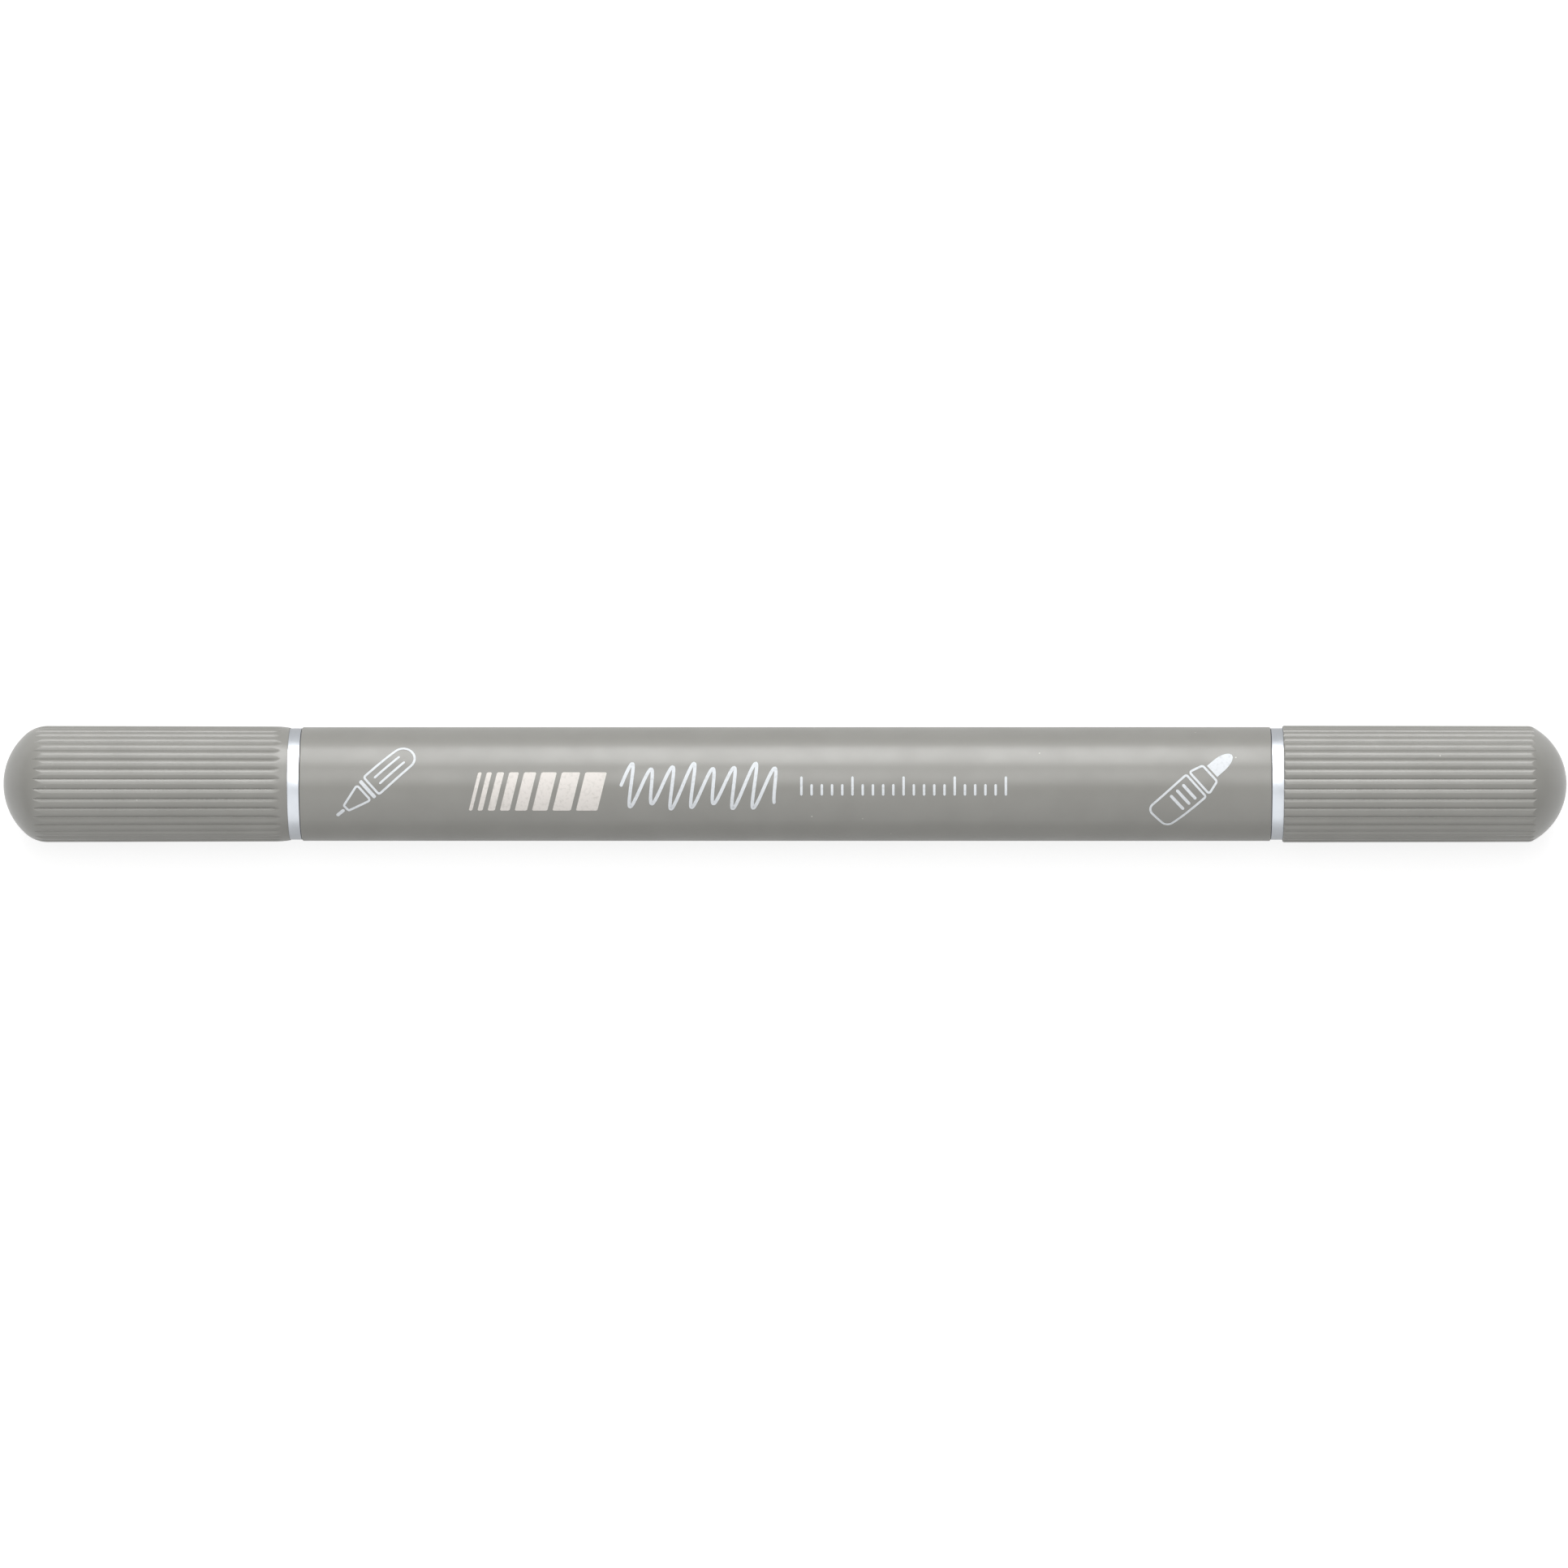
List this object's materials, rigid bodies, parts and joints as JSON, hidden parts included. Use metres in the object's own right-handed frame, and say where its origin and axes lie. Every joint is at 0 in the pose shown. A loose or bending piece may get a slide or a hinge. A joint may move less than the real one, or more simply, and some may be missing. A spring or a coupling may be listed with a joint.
{
  "type": "double-ended felt tip marker",
  "caption": "Capped double-ended felt tip marker: round barrel with an ink reservoir, a fine point, a broad felt nib, silver trim rings and two reeded snap caps with sealing liners.",
  "frame": {"origin": "on the barrel's axis, midway between the tops of the two domed caps", "axes": "+X along the marker towards its broad end, +Z out of the printed side of the barrel, +Y across"},
  "size_m": [0.1538, 0.0114, 0.0114],
  "materials": {
    "barrel_grey": "satin moulded polypropylene, warm grey",
    "cap_grey": "satin moulded polypropylene, warm grey",
    "trim_silver": "bright silver foil",
    "section_white": "satin moulded polypropylene, natural white",
    "liner_white": "satin moulded polyethylene, natural white",
    "nib_steel": "drawn stainless tube",
    "nib_fibre": "bonded fibre, stained with grey ink",
    "nib_felt": "pressed felt, stained with grey ink",
    "reservoir_fibre": "polyester fibre bundle, soaked with grey ink",
    "reservoir_film": "thin clear film",
    "print_white": "screen-printed ink, white"
  },
  "bodies": {
    "barrel": {"barrel_tube": "barrel_grey", "fine_trim_ring": "trim_silver", "broad_trim_ring": "trim_silver", "fine_section": "section_white", "broad_section": "section_white", "fine_nib_sleeve": "nib_steel", "fine_nib": "nib_fibre", "fine_wick": "nib_fibre", "broad_nib": "nib_felt", "ink_reservoir": "reservoir_fibre", "reservoir_film": "reservoir_film"},
    "fine_cap": {"fine_cap_shell": "cap_grey", "fine_cap_liner": "liner_white"},
    "broad_cap": {"broad_cap_shell": "cap_grey", "broad_cap_liner": "liner_white"}
  },
  "joints": [
    {"name": "fine_cap_pull", "type": "slide", "parent": "barrel", "child": "fine_cap", "axis": [-1, 0, 0], "range_m": [0, 0.034]},
    {"name": "broad_cap_pull", "type": "slide", "parent": "barrel", "child": "broad_cap", "axis": [1, 0, 0], "range_m": [0, 0.034]}
  ]
}
